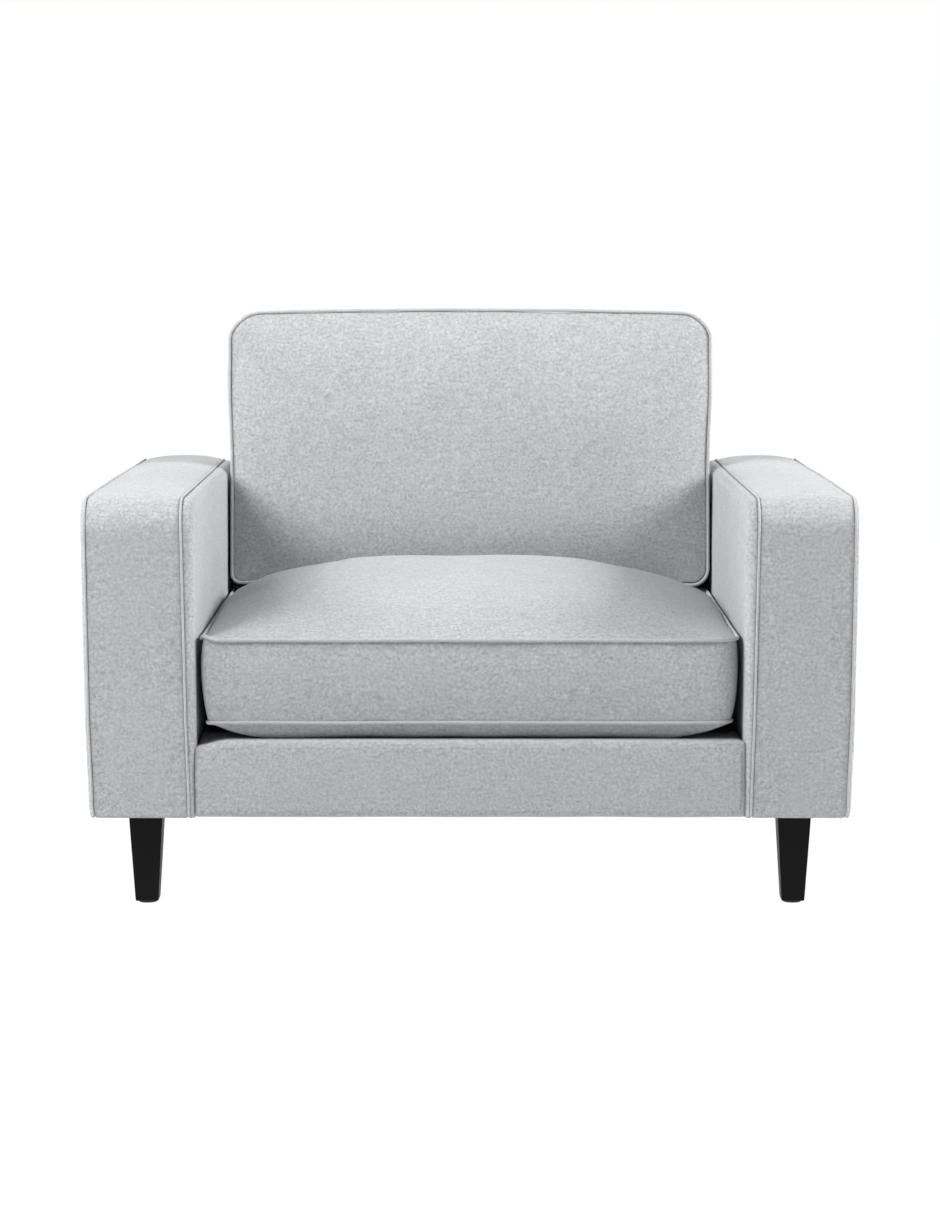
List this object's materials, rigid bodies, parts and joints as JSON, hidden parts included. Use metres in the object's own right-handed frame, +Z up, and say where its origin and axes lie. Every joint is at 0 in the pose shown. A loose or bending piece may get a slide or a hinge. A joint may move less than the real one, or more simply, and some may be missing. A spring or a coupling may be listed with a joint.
{
  "type": "upholstered armchair",
  "caption": "Square-armed upholstered armchair with loose piped seat and back cushions on short tapered legs.",
  "frame": {"origin": "on the floor under the middle of the chair's bounding box", "axes": "+X across the chair, to the right of someone who faces its front; +Y towards the rear; +Z up"},
  "size_m": [1.1, 0.86, 0.8371],
  "materials": {
    "cover_fabric": "light grey heathered plain weave",
    "piping_fabric": "light grey cover cloth wrapped round a cord",
    "foam": "open-cell polyurethane foam",
    "timber": "sawn softwood",
    "plywood": "raw plywood",
    "hardboard": "raw hardboard",
    "spring_steel": "drawn spring wire",
    "zinc_steel": "bright zinc",
    "webbing": "woven elastic webbing",
    "felt": "pressed felt",
    "deck_fabric": "grey platform cloth",
    "dust_fabric": "black non-woven cloth",
    "zip_tape": "light grey zip tape and coil",
    "zip_metal": "nickel-plated",
    "leg_wood": "black satin lacquer",
    "glide_plastic": "black matte"
  },
  "bodies": {
    "chair": {"arm_bolts": "zinc_steel", "arm_bottom_boards": "timber", "arm_front_boards": "timber", "arm_inner_panels": "plywood", "arm_outer_panels": "hardboard", "arm_rear_boards": "timber", "arm_tee_nuts": "zinc_steel", "arm_top_boards": "timber", "back_cover": "cover_fabric", "back_foot_rail": "timber", "back_gussets": "plywood", "back_lower_rail": "timber", "back_pad": "foam", "back_posts": "timber", "back_top_rail": "timber", "back_webbing": "webbing", "deck_cloth": "deck_fabric", "deck_felt": "felt", "deck_pad": "foam", "dust_cover": "dust_fabric", "front_border_cover": "cover_fabric", "front_border_pad": "foam", "front_left_leg": "leg_wood", "front_right_leg": "leg_wood", "left_arm_inner_cover": "cover_fabric", "left_arm_inner_pad": "foam", "left_arm_outer_cover": "cover_fabric", "left_arm_piping": "piping_fabric", "left_arm_wrap_cover": "cover_fabric", "left_arm_wrap_pad": "foam", "leg_glides": "glide_plastic", "leg_hanger_bolts": "zinc_steel", "leg_tee_nuts": "zinc_steel", "outside_back_cover": "cover_fabric", "outside_back_panel": "hardboard", "rear_left_leg": "leg_wood", "rear_right_leg": "leg_wood", "right_arm_inner_cover": "cover_fabric", "right_arm_inner_pad": "foam", "right_arm_outer_cover": "cover_fabric", "right_arm_piping": "piping_fabric", "right_arm_wrap_cover": "cover_fabric", "right_arm_wrap_pad": "foam", "seat_corner_blocks": "timber", "seat_front_rail": "timber", "seat_side_rails": "timber", "seat_spring_clips": "zinc_steel", "seat_spring_rail": "timber", "seat_spring_ties": "spring_steel", "seat_springs": "spring_steel"},
    "seat_cushion": {"seat_cushion_cover": "cover_fabric", "seat_cushion_core": "foam", "seat_cushion_piping": "piping_fabric", "seat_zip": "zip_tape"},
    "seat_zip_slider": {"seat_zip_slider": "zip_metal"},
    "back_cushion": {"back_cushion_cover": "cover_fabric", "back_cushion_core": "foam", "back_cushion_piping": "piping_fabric", "back_zip": "zip_tape"},
    "back_zip_slider": {"back_zip_slider": "zip_metal"}
  },
  "joints": [
    {"name": "seat_cushion_slide", "type": "slide", "parent": "chair", "child": "seat_cushion", "axis": [0, -1, 0], "range_m": [0, 0.72]},
    {"name": "back_cushion_slide", "type": "slide", "parent": "chair", "child": "back_cushion", "axis": [0, 0.1219, 0.9925], "range_m": [0, 0.4]},
    {"name": "seat_zip_slide", "type": "slide", "parent": "seat_cushion", "child": "seat_zip_slider", "axis": [1, 0, 0], "range_m": [0, 0.59]},
    {"name": "back_zip_slide", "type": "slide", "parent": "back_cushion", "child": "back_zip_slider", "axis": [1, 0, 0], "range_m": [0, 0.59]}
  ]
}
